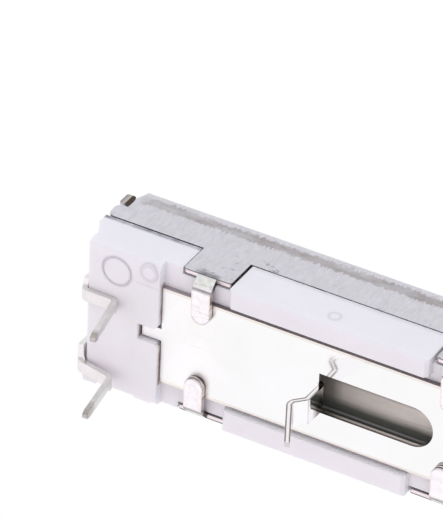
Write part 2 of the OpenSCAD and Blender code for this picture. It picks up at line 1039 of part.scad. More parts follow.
// One finger, from the wiper's base down to the track and up at its tip
module finger(y) {
    base_z = carrier_under - spring_t / 2;
    touch_z = board_top + track_t + contact_gap + spring_t / 2;
    base_x = carrier_len / 2 - finger_room;
    touch_x = base_x + finger_run;
    across(y - finger_w / 2, y + finger_w / 2)
        strip([
            [base_x - finger_base, base_z],
            [base_x, base_z],
            [touch_x, touch_z],
            [touch_x + finger_tip, touch_z + finger_rise]
        ], spring_t, spring_bend_r);
}

module wiper() {
    color(bronze) {
        block(
            [-carrier_len / 2 + wiper_end, -track_y - finger_base, carrier_under - spring_t],
            [carrier_len / 2 - finger_room, track_y + finger_base, carrier_under]
        );
        for (y = [-track_y, track_y], i = [-1 : 1])
            finger(y + i * 1.5 * finger_w);
    }
}

// Leaf on the carrier's top, bowed up at both ends
module friction_spring() {
    flat_z = carrier_top + spring_t / 2;
    high_z = -sheet_t - contact_gap - spring_t / 2;
    flat_x = lever_w / 2 + leaf_flat;
    tip_x = carrier_len / 2 - leaf_end;
    color(bronze)
        difference() {
            across(-lever_t / 2 - leaf_side, lever_t / 2 + leaf_side)
                strip([
                    [-tip_x, high_z - leaf_drop],
                    [-tip_x + leaf_tip, high_z],
                    [-flat_x, flat_z],
                    [flat_x, flat_z],
                    [tip_x - leaf_tip, high_z],
                    [tip_x, high_z - leaf_drop]
                ], spring_t, spring_bend_r);
            block(
                [-lever_w / 2 - lever_fit, -lever_t / 2 - lever_fit, -3],
                [lever_w / 2 + lever_fit, lever_t / 2 + lever_fit, 3]
            );
        }
}

cover();
housing();
bottom_plate();
resistor_board();
resistive_track();
collector_track();
silver_pad_left();
silver_pad_right();
terminal_1();
terminal_2();
terminal_3();
rivet_1();
rivet_2();
rivet_3();
carrier();
lever();
wiper();
friction_spring();
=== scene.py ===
import json
import math

import bmesh
import bpy
from mathutils import Euler, Matrix, Vector


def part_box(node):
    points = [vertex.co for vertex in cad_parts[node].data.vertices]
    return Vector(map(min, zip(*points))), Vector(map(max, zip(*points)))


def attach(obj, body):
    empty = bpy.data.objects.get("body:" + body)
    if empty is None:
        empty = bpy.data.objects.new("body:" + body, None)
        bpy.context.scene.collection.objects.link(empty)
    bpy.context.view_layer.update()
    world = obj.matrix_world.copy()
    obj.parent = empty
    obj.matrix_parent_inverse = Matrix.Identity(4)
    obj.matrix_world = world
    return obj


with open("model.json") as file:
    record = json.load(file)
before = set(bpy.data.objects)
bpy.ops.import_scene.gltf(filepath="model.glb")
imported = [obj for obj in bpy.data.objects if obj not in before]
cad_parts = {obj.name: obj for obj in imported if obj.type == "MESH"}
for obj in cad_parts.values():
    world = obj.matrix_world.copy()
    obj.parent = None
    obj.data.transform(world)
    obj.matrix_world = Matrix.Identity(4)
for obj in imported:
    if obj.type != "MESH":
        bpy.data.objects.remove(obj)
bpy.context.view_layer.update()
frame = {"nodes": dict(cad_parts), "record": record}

MM = 0.001

# ---- Places on the part, in mm from the middle of the cover's top face ----

TAB_PITCH = 14.6
TAB_INSET = 6.95  # from each end of the body to its first tab
TAB_SHIFT = 0.12  # the back tabs stand this far out of the even spacing and the front ones in
TAB_ROUND_Y = 2.35  # centre of a tab's round end
BODY_END = 2 * TAB_PITCH + TAB_INSET
BODY_SIDE = 4.5  # outer face of the cover's walls
SCREW_X = BODY_END - 3.6
WALL_FOOT = -3.2  # lower edge of the walls over the notches
LAND_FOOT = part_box("bottom_plate")[1].z / MM  # lower edge of the lands that carry the tabs
PLATE_FOOT = LAND_FOOT - 0.3
LUG_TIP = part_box("bottom_plate")[0].z / MM
LUG_X = BODY_END - 14.15  # middle of a lug's sheet where it leaves the plate
SIDE_STRETCH = (28.0, 27.6)  # where an end block's stretch of the body gives way to the side blocks
RING = (BODY_END - 2.05, -3.25, 0.9)  # x, y and radius of the plain ring on an end block
STUB = (BODY_END - 3.97, -3.85, 0.52)  # the same for the moulded stub beside it
GATE_X = -21.78  # middle of the mark that the mould's gate left on a side block
GATE_Z = -4.93

# ---- Camera, at the photograph's viewing angle ----

CAMERA_AT = (95.478, -187.897, -236.610)
CAMERA_TURN = (146.3827, -29.5645, -2.3729)  # degrees about X, Y and Z
SENSOR_WIDTH = 36.0
FOCAL_LENGTH = 430.78


def make_camera():
    data = bpy.data.cameras.new("camera")
    data.sensor_width = SENSOR_WIDTH
    data.lens = FOCAL_LENGTH
    data.clip_start = 0.01
    data.clip_end = 20.0
    camera = bpy.data.objects.new("camera", data)
    turn = Euler([math.radians(angle) for angle in CAMERA_TURN]).to_matrix()
    camera.matrix_world = Matrix.Translation(Vector(CAMERA_AT) * MM) @ turn.to_4x4()
    bpy.context.scene.collection.objects.link(camera)
    bpy.context.scene.camera = camera


# ---- Node materials ----


class Surface:
    """A Principled material whose inputs come from procedural nodes in the object's own metres.

    x, y and z are the place on the object. along and across are its distances from the middle in
    X and Y. to_end, to_side and to_floor say how far the face points along X, Y and Z, 0 to 1.
    """

    def __init__(self, name, **values):
        self.material = bpy.data.materials.new(name)
        self.material.use_nodes = True
        self.tree = self.material.node_tree
        self.tree.nodes.clear()
        self.shader = self.node("ShaderNodeBsdfPrincipled")
        self.output = self.node("ShaderNodeOutputMaterial")
        self.tree.links.new(self.shader.outputs["BSDF"], self.output.inputs["Surface"])
        for key, value in values.items():
            self.shader.inputs[key.replace("_", " ")].default_value = value
        self.place = self.node("ShaderNodeTexCoord").outputs["Object"]
        self.x, self.y, self.z = self.node("ShaderNodeSeparateXYZ", {"Vector": self.place}).outputs
        self.along = self.math("ABSOLUTE", self.x)
        self.across = self.math("ABSOLUTE", self.y)
        flat = self.node("ShaderNodeNewGeometry").outputs["True Normal"]
        faces = self.node("ShaderNodeSeparateXYZ", {"Vector": flat}).outputs
        self.to_end, self.to_side, self.to_floor = (self.math("ABSOLUTE", face) for face in faces)

    def node(self, kind, inputs=None, **settings):
        made = self.tree.nodes.new(kind)
        for key, value in settings.items():
            setattr(made, key, value)
        for key, value in (inputs or {}).items():
            self.put(made.inputs[key], value)
        return made

    def put(self, socket, value):
        if isinstance(value, bpy.types.NodeSocket):
            self.tree.links.new(value, socket)
        else:
            socket.default_value = value

    def mapped(self, scale, turn=(0, 0, 0)):
        made = self.node("ShaderNodeMapping", {"Vector": self.place, "Scale": scale, "Rotation": turn})
        return made.outputs["Vector"]

    def noise(self, scale, detail=3.0, rough=0.55, vector=None):
        made = self.node("ShaderNodeTexNoise", {
            "Vector": vector or self.place, "Scale": scale, "Detail": detail, "Roughness": rough,
        })
        return made.outputs["Fac"]

    def cells(self, scale):
        made = self.node("ShaderNodeTexVoronoi", {"Vector": self.place, "Scale": scale})
        return made.outputs["Distance"]

    def math(self, operation, a, b=0.0):
        made = self.node("ShaderNodeMath", operation=operation)
        self.put(made.inputs[0], a)
        self.put(made.inputs[1], b)
        return made.outputs[0]

    def times(self, product, *factors):
        for factor in factors:
            product = self.math("MULTIPLY", product, factor)
        return product

    def distance(self, a, b):
        """Length of the diagonal over two lengths at right angles."""
        return self.math("SQRT", self.math("ADD", self.times(a, a), self.times(b, b)))

    def less(self, value, place):
        """The value less a place in mm."""
        return self.math("SUBTRACT", value, place * MM)

    def span(self, value, low, high, to_low=0.0, to_high=1.0):
        """Goes from to_low to to_high as the value goes from low to high, and stays there."""
        made = self.node("ShaderNodeMapRange", {
            "Value": value, "From Min": low, "From Max": high, "To Min": to_low, "To Max": to_high,
        })
        return made.outputs["Result"]

    def ramp(self, value, low, high, to_low=0.0, to_high=1.0):
        """A span between two places in mm."""
        return self.span(value, low * MM, high * MM, to_low, to_high)

    def between(self, value, low, high, soft):
        """1 while the value lies between two places in mm, with soft ends."""
        rise = self.ramp(value, low - soft, low)
        fall = self.ramp(value, high, high + soft, 1.0, 0.0)
        return self.times(rise, fall)

    def mix(self, share, a, b):
        made = self.node("ShaderNodeMix", data_type="RGBA")
        self.put(made.inputs["Factor"], share)
        self.put(made.inputs[6], (*a, 1.0) if isinstance(a, tuple) else a)
        self.put(made.inputs[7], (*b, 1.0) if isinstance(b, tuple) else b)
        return made.outputs[2]

    def bump(self, height, depth, strength, under=None):
        """A bump of a depth in mm, over another one if it is given."""
        made = self.node("ShaderNodeBump", {"Height": height, "Distance": depth * MM, "Strength": strength})
        if under is not None:
            self.put(made.inputs["Normal"], under)
        return made.outputs["Normal"]

    def set(self, **links):
        for key, value in links.items():
            self.put(self.shader.inputs[key.replace("_", " ")], value)
        return self.material


def scratches(s, scale, turn, width):
    """Sparse thin lines: 1 on a scratch and 0 elsewhere."""
    lines = s.noise(scale, 1.0, 0.4, s.mapped((0.05, 1, 1), turn))
    near = s.math("ABSOLUTE", s.math("SUBTRACT", lines, 0.5))
    thin = s.span(near, 0.0, width, 1.0, 0.0)
    gate = s.span(s.noise(scale * 0.12, 2.0), 0.55, 0.62)
    return s.times(thin, gate)


# ---- The cover's steel, in layers ----


def rolled_sheet(s, cloud, stroke):
    """Short strokes across the sheet's length, cloudy tin and a few specks."""
    base = s.mix(s.span(stroke, 0.3, 0.7), (0.585, 0.57, 0.635), (0.715, 0.705, 0.75))
    base = s.mix(s.span(cloud, 0.35, 0.7, 0.0, 0.45), base, (0.625, 0.625, 0.63))
    speck = s.span(s.cells(2600), 0.0, 0.16, 1.0, 0.0)
    speck = s.times(speck, s.span(s.noise(600, 2.0), 0.5, 0.62))
    return s.mix(s.times(speck, 0.5), base, (0.28, 0.27, 0.30))


def rub_marks(s, base):
    """Marks of the press along the fold, ragged at their lower edge."""
    comb = s.noise(6500, 3.0, 0.7, s.mapped((1, 1, 0.15)))
    drawn = s.math("ADD", s.z, s.times(s.span(comb, 0.3, 0.7), 0.34 * MM))
    band = s.between(drawn, -1.12, -0.62, 0.12)
    before_end = s.ramp(s.along, BODY_END - 1.25, BODY_END - 0.65, 1.0, 0.0)
    patch = s.noise(1500, 3.0, 0.6, s.mapped((0.35, 1, 1)))
    band = s.times(band, before_end, s.span(patch, 0.35, 0.6, 0.35, 1.0))
    return s.mix(s.times(band, s.span(s.to_side, 0.5, 0.9)), base, (0.38, 0.352, 0.36))


def wall_edges(s, base):
    """Scuffs low on the walls, and painted shade on the sheared edges of the notches under them."""
    scuff = s.span(s.noise(2600, 4.0, 0.75, s.mapped((0.45, 1, 1))), 0.60, 0.66)
    scuff = s.times(scuff, s.ramp(s.z, WALL_FOOT + 1.0, WALL_FOOT + 0.2, 0.0, 0.8))
    scuff = s.times(scuff, s.span(s.noise(260, 2.0), 0.44, 0.56))
    base = s.mix(scuff, base, (0.20, 0.195, 0.21))
    # Over an end block the edge is painted dark as shade, and over a side block it is bright with nicks
    dark = s.mix(s.span(s.noise(1400, 3.0), 0.42, 0.62), (0.20, 0.19, 0.22), (0.04, 0.035, 0.045))
    nicked = s.mix(s.span(s.noise(900, 4.0, 0.7), 0.54, 0.62), (0.60, 0.59, 0.61), (0.10, 0.09, 0.10))
    shaded_or_nicked = s.mix(s.ramp(s.along, *SIDE_STRETCH), dark, nicked)
    edge = s.between(s.z, WALL_FOOT - 0.4, WALL_FOOT + 0.3, 0.1)
    base = s.mix(s.times(s.span(s.to_floor, 0.3, 0.7), edge, 0.9), base, shaded_or_nicked)
    # Painted near-black shade on the sheared flanks under the notches
    flank = s.ramp(s.z, WALL_FOOT + 0.1, WALL_FOOT + 0.2, 1.0, 0.0)
    return s.mix(s.times(s.span(s.to_end, 0.3, 0.7), flank, 0.9), base, (0.06, 0.045, 0.045))


def land_edges(s, base):
    """Lower edge of the lands: a painted highlight between two lines of painted shade."""
    foot = s.between(s.z, LAND_FOOT - 0.06, LAND_FOOT + 0.1, 0.02)
    core = s.between(s.across, BODY_SIDE - 0.23, BODY_SIDE - 0.08, 0.05)
    highlight_between_shade = s.mix(core, (0.10, 0.085, 0.09), (0.88, 0.78, 0.81))
    return s.mix(s.times(s.span(s.to_floor, 0.4, 0.8), foot), base, highlight_between_shade)


def tab_offsets(s):
    """Distance along the body from the nearest tab's middle, and inward past its round's centre."""
    shift = s.times(s.math("SIGN", s.y), TAB_SHIFT * MM)
    aside = s.along
    for tab_x in (TAB_PITCH, 2 * TAB_PITCH):
        off = s.math("SUBTRACT", s.along, s.math("ADD", shift, tab_x * MM))
        aside = s.math("MINIMUM", aside, s.math("ABSOLUTE", off))
    past = s.math("MAXIMUM", s.math("SUBTRACT", TAB_ROUND_Y * MM, s.across), 0.0)
    return aside, past


def tab_faces(s, base, below):
    """Painted light on a tab's faces between its two bends and under the plate, brighter than the walls'
    steel.
    """
    lit_underside = s.mix(s.span(s.noise(3000, 3.0, 0.7), 0.38, 0.62), (0.90, 0.85, 0.89), (1.0, 0.955, 1.0))
    lit_slant = s.mix(s.span(s.noise(2500, 3.0), 0.35, 0.65), (0.72, 0.73, 0.71), (0.93, 0.93, 0.92))
    face = s.mix(s.span(s.to_floor, 0.78, 0.72), lit_underside, lit_slant)
    return s.mix(s.times(below, s.span(s.to_end, 0.8, 0.3)), base, face)


def tab_bends(s, base, below, aside):
    """Painted shade along a tab's two bends, and a painted shadow on the land over the upper one."""
    shade_breakup = s.span(s.noise(2200, 3.0, 0.7), 0.3, 0.6, 0.6, 1.0)
    upper = s.times(s.span(s.to_side, 0.86, 0.94), 0.75)
    lower = s.times(s.span(s.to_floor, 0.80, 0.85), s.span(s.to_floor, 0.99, 0.96), 0.85)
    bend = s.times(s.math("MAXIMUM", upper, lower), below, s.span(s.to_end, 0.3, 0.1))
    base = s.mix(s.times(bend, shade_breakup), base, (0.24, 0.235, 0.25))
    # Painted shadow on the land over the tab
    spot = s.times(s.ramp(aside, 0.8, 0.5), s.ramp(s.z, LAND_FOOT + 0.42, LAND_FOOT + 0.12))
    spot = s.times(spot, s.ramp(s.z, LAND_FOOT - 0.1, LAND_FOOT - 0.06), s.span(s.to_side, 0.9, 0.98))
    return s.mix(s.times(spot, shade_breakup), base, (0.20, 0.195, 0.22))


def tab_rims(s, base, below, aside, past):
    """Painted shade around a tab's underside, and a warm painted highlight along its straight sides."""
    rim = s.times(s.ramp(s.distance(aside, past), 0.46, 0.52), below, s.span(s.to_floor, 0.9, 0.97))
    warm_highlight = s.times(s.ramp(past, 0.25, 0.1), s.ramp(s.across, 3.9, 3.7))
    return s.mix(s.times(rim, 0.6), base, s.mix(warm_highlight, (0.42, 0.36, 0.42), (0.80, 0.69, 0.62)))


def tab_flanks(s, base, below):
    """Sheared flanks and tips of the tabs: painted shade beside the plate, a streaked painted reflection of
    the plate under it, and painted bands of reflection on the tips.
    """
    streak = s.span(s.noise(5000, 2.0, 0.6, s.mapped((1, 1, 0.1))), 0.4, 0.6)
    streaked_reflection = s.mix(streak, (0.42, 0.38, 0.36), (0.82, 0.74, 0.69))
    under_plate = s.times(s.ramp(s.z, PLATE_FOOT + 0.05, PLATE_FOOT - 0.1), s.ramp(s.across, 4.1, 3.9))
    flank = s.times(below, s.span(s.to_end, 0.55, 0.8))
    base = s.mix(flank, base, s.mix(under_plate, (0.10, 0.085, 0.09), streaked_reflection))
    reflection_bands = s.span(s.noise(9500, 2.0, 0.6, s.mapped((0.05, 0.05, 1))), 0.44, 0.56)
    tip = s.times(below, s.span(s.to_side, 0.4, 0.6), s.ramp(s.across, 3.6, 3.4))
    return s.mix(tip, base, s.mix(reflection_bands, (0.07, 0.06, 0.065), (0.85, 0.78, 0.76)))


def ears(s, base):
    """Edges of the ears that stand out of the walls, painted dark on their inner half as shade."""
    ear = s.times(s.between(s.z, -2.05, -1.0, 0.02), s.ramp(s.across, BODY_SIDE + 0.015, BODY_SIDE + 0.03))
    end = s.ramp(s.along, BODY_END + 0.13, BODY_END - 0.1)
    base = s.mix(ear, base, s.mix(end, (0.30, 0.285, 0.27), (0.54, 0.50, 0.49)))
    ear_shade = s.between(s.along, BODY_END - 0.45, BODY_END - 0.18, 0.07)
    return s.mix(s.times(ear, ear_shade), base, (0.07, 0.045, 0.03))


def steel_cover():
    s = Surface("steel_cover", Metallic=1.0)
    cloud = s.noise(900, 4.0, 0.65)
    stroke = s.noise(7000, 3.0, 0.7, s.mapped((1, 1, 0.3)))
    base = rolled_sheet(s, cloud, stroke)
    base = rub_marks(s, base)
    base = wall_edges(s, base)
    base = land_edges(s, base)
    below = s.ramp(s.z, LAND_FOOT, LAND_FOOT - 0.06)
    aside, past = tab_offsets(s)
    base = tab_faces(s, base, below)
    base = tab_bends(s, base, below, aside)
    base = tab_rims(s, base, below, aside, past)
    base = tab_flanks(s, base, below)
    base = ears(s, base)
    coarse = scratches(s, 700, (0, 0.6, 0.3), 0.008)
    fine = scratches(s, 1100, (0, -0.9, 0.2), 0.007)
    line = s.math("MAXIMUM", coarse, fine)
    base = s.mix(s.times(line, 0.5), base, (0.25, 0.25, 0.25))
    rough = s.span(cloud, 0.3, 0.7, 0.32, 0.44)
    normal = s.bump(line, 0.008, 0.5, s.bump(stroke, 0.003, 0.4))
    return s.set(Base_Color=base, Roughness=rough, Normal=normal)


# ---- The housing's nylon, in layers ----

NYLON_GROOVE_SHADE = (0.50, 0.46, 0.53)


def lit_rail_and_faces(s, base):
    """Painted light on the rail between the walls and the plate, and on the back blocks' faces beside the
    plate, lifting them out of their shade.
    """
    rail = s.times(s.between(s.z, -4.4, -4.2, 0.05), s.to_floor)
    base = s.mix(rail, base, (0.985, 0.955, 0.99))
    inner = s.times(s.between(s.y, 2.9, 3.9, 0.1), s.span(s.to_side, 0.5, 0.8))
    return s.mix(s.times(inner, s.ramp(s.z, LAND_FOOT, LAND_FOOT - 0.1)), base, (1.0, 0.975, 1.0))


def shade_of_steel(s, base):
    """Shade where the steel's edge stands over the blocks, deeper at the end blocks."""
    shade = s.ramp(s.z, WALL_FOOT - 0.42, WALL_FOOT - 0.24)
    shade = s.times(shade, s.ramp(s.across, BODY_SIDE - 0.35, BODY_SIDE - 0.25))
    shade = s.times(shade, s.span(s.noise(1300, 3.0), 0.35, 0.65, 0.45, 0.95))
    tone = s.mix(s.ramp(s.along, *SIDE_STRETCH), (0.22, 0.205, 0.25), (0.76, 0.75, 0.79))
    return s.mix(shade, base, tone)


def moulded_marks(s, base):
    """Painted shade in the grooves around the moulded ring and stub, a few specks, and painted shade around
    the gate's mark.
    """
    for centre_x, centre_y, radius in (RING, STUB):
        away = s.distance(s.less(s.along, centre_x), s.less(s.y, centre_y))
        groove = s.between(away, radius - 0.13, radius + 0.02, 0.09)
        groove = s.times(groove, s.ramp(s.z, PLATE_FOOT - 0.1, PLATE_FOOT - 0.15))
        base = s.mix(s.times(groove, 0.32), base, NYLON_GROOVE_SHADE)
    spot = s.span(s.cells(900), 0.0, 0.06, 1.0, 0.0)
    base = s.mix(s.times(spot, 0.12), base, (0.55, 0.5, 0.5))
    away = s.distance(s.less(s.x, GATE_X), s.less(s.z, GATE_Z))
    gate = s.times(s.between(away, 0.27, 0.37, 0.07), s.ramp(s.y, 0.3 - BODY_SIDE, 0.25 - BODY_SIDE))
    return s.mix(s.times(gate, 0.3), base, NYLON_GROOVE_SHADE)


def end_block_shade(s, base):
    """Brown painted shade on the lower part of the end blocks' inner faces, beside the plate."""
    contact_shade = s.times(s.between(s.along, BODY_END - 4.8, BODY_END - 3.3, 0.05), s.span(s.to_end, 0.4, 0.8))
    contact_shade = s.times(contact_shade, s.ramp(s.z, PLATE_FOOT - 0.22, PLATE_FOOT - 0.1), s.ramp(s.across, 3.3, 3.1))
    contact_shade = s.times(contact_shade, s.span(s.noise(900, 3.0), 0.35, 0.6, 0.5, 1.0))
    return s.mix(contact_shade, base, (0.42, 0.31, 0.27))


def nylon():
    s = Surface(
        "nylon", Subsurface_Weight=0.3, Subsurface_Scale=0.6 * MM, Subsurface_Radius=(1.0, 0.9, 0.95)
    )
    cloud = s.noise(260, 3.0, 0.6)
    tone = s.span(cloud, 0.3, 0.7)
    # Faces towards the floor are painted pinker and the upright faces lilac: painted tints of the light on
    # each side
    upright = s.mix(tone, (0.86, 0.845, 0.885), (0.90, 0.885, 0.915))
    under = s.mix(tone, (0.84, 0.793, 0.828), (0.882, 0.835, 0.86))
    base = s.mix(s.span(s.to_floor, 0.3, 0.9), upright, under)
    base = lit_rail_and_faces(s, base)
    base = shade_of_steel(s, base)
    base = moulded_marks(s, base)
    base = end_block_shade(s, base)
    rough = s.span(cloud, 0.3, 0.7, 0.36, 0.5)
    normal = s.bump(s.noise(3800, 2.0, 0.6), 0.004, 0.35, s.bump(cloud, 0.03, 0.35))
    return s.set(Base_Color=base, Roughness=rough, Normal=normal)


# ---- The bottom plate's tin, in layers ----


def sheet_edges(s, base):
    """Warm borders along the plate; its sheared edges dark, partly as painted shade of the gaps beside
    them, with a painted highlight along the slot's back wall.
    """
    border = s.times(s.between(s.across, 2.86, 3.1, 0.05), s.to_floor, 0.6)
    base = s.mix(border, base, (0.85, 0.75, 0.69))
    past_tabs = s.ramp(s.along, 2 * TAB_PITCH + 0.2, 2 * TAB_PITCH + 0.7)
    tone = s.mix(past_tabs, (0.20, 0.17, 0.17), (0.42, 0.38, 0.40))
    slot_wall_highlight = s.ramp(s.z, PLATE_FOOT + 0.12, PLATE_FOOT + 0.17)
    slot_wall_highlight = s.times(slot_wall_highlight, s.between(s.y, 1.0, 1.5, 0.1))
    edge = s.between(s.z, PLATE_FOOT, LAND_FOOT + 0.1, 0.02)
    edge = s.times(s.span(s.to_floor, 0.6, 0.3), edge, 0.95)
    return s.mix(edge, base, s.mix(slot_wall_highlight, tone, (0.80, 0.79, 0.77)))


def lug_faces(s, base, below):
    """Painted shade on a lug's root, where it stands in the dark of the slot, a dull tip, and painted shade
    along its edges.
    """
    # Painted shade on the root
    root = s.times(s.ramp(s.z, PLATE_FOOT - 1.15, PLATE_FOOT - 0.6), s.ramp(s.y, -0.35, 0.35))
    root = s.times(root, below, s.span(s.to_end, 0.6, 0.9))
    base = s.mix(s.times(root, 0.85), base, (0.10, 0.07, 0.06))
    tip = s.times(s.ramp(s.z, LUG_TIP + 0.6, LUG_TIP + 0.1), s.span(s.to_floor, 0.2, 0.5))
    base = s.mix(s.times(tip, 0.8), base, (0.62, 0.585, 0.62))
    # Painted shade along the lug's edges
    rim = s.times(s.span(s.to_side, 0.3, 0.45), s.span(s.to_side, 0.93, 0.85), below)
    return s.mix(s.times(rim, 0.8), base, (0.10, 0.095, 0.10))


def lug_sides(s, base, below):
    """A lug's sheared side: a painted highlight along the middle of the bent sheet and painted shade at
    both faces.
    """
    kink = s.ramp(s.z, PLATE_FOOT - 1.5, PLATE_FOOT - 2.1, 0.0, 0.56 * MM)
    lean = s.ramp(s.z, PLATE_FOOT - 2.4, LUG_TIP, 0.0, 1.13 * MM)
    middle = s.math("ADD", s.math("SUBTRACT", kink, lean), LUG_X * MM)
    aside = s.math("ABSOLUTE", s.math("SUBTRACT", s.along, middle))
    drawn = s.math("ADD", aside, s.times(s.noise(2500, 2.0), 0.03 * MM))
    tone = s.mix(s.ramp(drawn, 0.075, 0.125), (0.90, 0.88, 0.875), (0.24, 0.21, 0.205))
    return s.mix(s.times(s.span(s.to_side, 0.9, 0.95), below), base, tone)


def tin_plate():
    s = Surface("tin_plate", Metallic=1.0)
    cloud = s.noise(240, 3.0, 0.6)
    base = s.mix(s.span(cloud, 0.3, 0.7), (0.955, 0.945, 0.95), (0.99, 0.98, 1.0))
    tarnish = s.times(s.span(s.noise(700, 4.0, 0.7), 0.5, 0.7), s.ramp(s.along, 27.0, 31.5))
    base = s.mix(s.times(tarnish, 0.5), base, (0.89, 0.84, 0.80))
    pit = s.span(s.cells(1500), 0.0, 0.07, 1.0, 0.0)
    pit = s.times(pit, s.span(s.noise(500, 2.0), 0.46, 0.56))
    coarse = scratches(s, 500, (0, 0, 0.5), 0.01)
    fine = scratches(s, 800, (0, 0, -0.8), 0.008)
    mark = s.math("MAXIMUM", pit, s.math("MAXIMUM", coarse, fine))
    base = s.mix(s.times(mark, 0.35), base, (0.5, 0.48, 0.46))
    base = sheet_edges(s, base)
    below = s.ramp(s.z, PLATE_FOOT - 0.02, PLATE_FOOT - 0.1)
    base = lug_faces(s, base, below)
    base = lug_sides(s, base, below)
    rough = s.math("ADD", s.span(cloud, 0.3, 0.7, 0.07, 0.14), s.ramp(s.along, 26.0, 30.0, 0.0, 0.3))
    normal = s.bump(mark, 0.006, 0.4, s.bump(s.noise(900, 2.0), 0.003, 0.25))
    return s.set(Base_Color=base, Roughness=rough, Normal=normal)


# ---- The smaller pieces' materials ----


def tinned_strip():
    s = Surface("tinned_strip")
    cloud = s.noise(900, 4.0, 0.65)
    cloudy = s.span(cloud, 0.35, 0.65)
    grain = s.noise(12000, 2.0, 0.6, s.mapped((1, 1, 0.12)))
    base = s.mix(s.span(cloud, 0.3, 0.7), (0.66, 0.67, 0.645), (0.80, 0.81, 0.785))
    base = s.mix(s.span(grain, 0.4, 0.75, 0.0, 0.3), base, (0.50, 0.50, 0.47))
    # Side faces painted lighter than the rest: painted light
    flank = s.mix(cloudy, (0.72, 0.735, 0.70), (0.88, 0.88, 0.85))
    base = s.mix(s.times(s.span(s.to_side, 0.6, 0.95), 0.7), base, flank)
    # Painted shade along the rounded long edges
    rim = s.times(s.to_side, s.to_floor, 2.0)
    base = s.mix(s.span(rim, 0.4, 0.9, 0.0, 0.75), base, (0.30, 0.28, 0.26))
    # Pale solder on the level faces only, partly painted light on them, and dull metal at the cut tips
    solder_and_light = s.span(s.to_floor, 0.6, 0.9)
    solder_and_light_colour = s.mix(cloudy, (0.90, 0.835, 0.84), (0.97, 0.905, 0.915))
    base = s.mix(s.times(solder_and_light, 0.85), base, solder_and_light_colour)
    tip = s.times(s.ramp(s.z, -9.3, -8.9, 1.0, 0.0), s.span(cloud, 0.35, 0.65, 0.3, 0.9))
    base = s.mix(tip, base, (0.30, 0.26, 0.24))
    # Painted light on the faces against the end blocks, made pale and not metal
    gap_light = s.times(s.span(s.to_end, 0.6, 0.9), s.ramp(s.z, PLATE_FOOT - 0.7, PLATE_FOOT - 0.5))
    base = s.mix(gap_light, base, (0.86, 0.85, 0.84))
    metal = s.math("SUBTRACT", 1.0, s.math("MAXIMUM", gap_light, s.times(solder_and_light, 0.75)))
    rough = s.span(cloud, 0.3, 0.7, 0.26, 0.42)
    normal = s.bump(grain, 0.004, 0.4, s.bump(cloud, 0.02, 0.4))
    return s.set(Base_Color=base, Metallic=metal, Roughness=rough, Normal=normal)


def phenolic():
    s = Surface("phenolic", Roughness=0.5)
    fibre = s.noise(1500, 4.0, 0.7, s.mapped((0.25, 1, 1)))
    base = s.mix(s.span(fibre, 0.3, 0.7), (0.74, 0.67, 0.61), (0.90, 0.82, 0.75))
    # Painted shadows: darker beside the lug, under the slot's front edge and past a wavy line towards the
    # back
    base = s.mix(s.ramp(s.along, LUG_X - 5.5, LUG_X - 0.5, 0.0, 0.42), base, (0.22, 0.20, 0.17))
    base = s.mix(s.ramp(s.along, LUG_X - 0.65, LUG_X - 0.05, 0.0, 0.6), base, (0.12, 0.11, 0.09))
    base = s.mix(s.ramp(s.y, 0.08, -0.1, 0.0, 0.6), base, (0.20, 0.19, 0.17))
    wave = s.times(s.noise(500, 2.0), 0.3 * MM)
    back_shadow = s.ramp(s.math("ADD", s.y, wave), 1.08, 1.55)
    base = s.mix(back_shadow, base, (0.15, 0.155, 0.135))
    glint = s.times(s.between(s.y, 1.84, 1.9, 0.07), 0.8)
    base = s.mix(glint, base, (0.62, 0.61, 0.60))
    return s.set(Base_Color=base, Normal=s.bump(fibre, 0.01, 0.4))


def ink(name, dark, light, metallic, rough):
    s = Surface(name, Metallic=metallic, Roughness=rough)
    mesh_print = s.noise(5000, 2.0, 0.6)
    base = s.mix(s.span(mesh_print, 0.3, 0.7), dark, light)
    return s.set(Base_Color=base, Normal=s.bump(mesh_print, 0.005, 0.5))


def rivet_brass():
    s = Surface("rivet_brass", Metallic=1.0, Roughness=0.35)
    cloud = s.noise(2500, 3.0, 0.6)
    base = s.mix(s.span(cloud, 0.3, 0.7), (0.60, 0.52, 0.34), (0.78, 0.70, 0.50))
    return s.set(Base_Color=base, Normal=s.bump(cloud, 0.01, 0.4))


def acetal():
    s = Surface("acetal")
    cloud = s.noise(700, 3.0, 0.6)
    speck = s.noise(6000, 2.0, 0.6)
    base = s.mix(s.span(cloud, 0.3, 0.7), (0.018, 0.018, 0.02), (0.035, 0.035, 0.038))
    rough = s.span(cloud, 0.3, 0.7, 0.32, 0.46)
    return s.set(Base_Color=base, Roughness=rough, Normal=s.bump(speck, 0.005, 0.4))


def steel_lever():
    """Ground steel, rubbed bright where the lever leaves the cover's slot."""
    s = Surface("steel_lever", Metallic=1.0)
    grain = s.noise(9000, 3.0, 0.65, s.mapped((1, 1, 0.05)))
    cloud = s.noise(500, 3.0, 0.6)
    base = s.mix(s.span(cloud, 0.3, 0.7), (0.60, 0.60, 0.60), (0.70, 0.70, 0.695))
    base = s.mix(s.span(grain, 0.4, 0.75, 0.0, 0.35), base, (0.42, 0.42, 0.42))
    rub = s.times(s.ramp(s.z, 0.2, 3.0, 1.0, 0.0), s.span(cloud, 0.4, 0.6, 0.1, 0.6))
    base = s.mix(rub, base, (0.78, 0.775, 0.76))
    rough = s.span(grain, 0.3, 0.7, 0.22, 0.36)
    return s.set(Base_Color=base, Roughness=rough, Normal=s.bump(grain, 0.004, 0.5))


def bronze():
    s = Surface("bronze", Metallic=1.0, Roughness=0.25)
    grain = s.noise(8000, 3.0, 0.6, s.mapped((0.08, 1, 1)))
    base = s.mix(s.span(grain, 0.3, 0.7), (0.58, 0.38, 0.22), (0.80, 0.58, 0.38))
    return s.set(Base_Color=base, Normal=s.bump(grain, 0.003, 0.4))


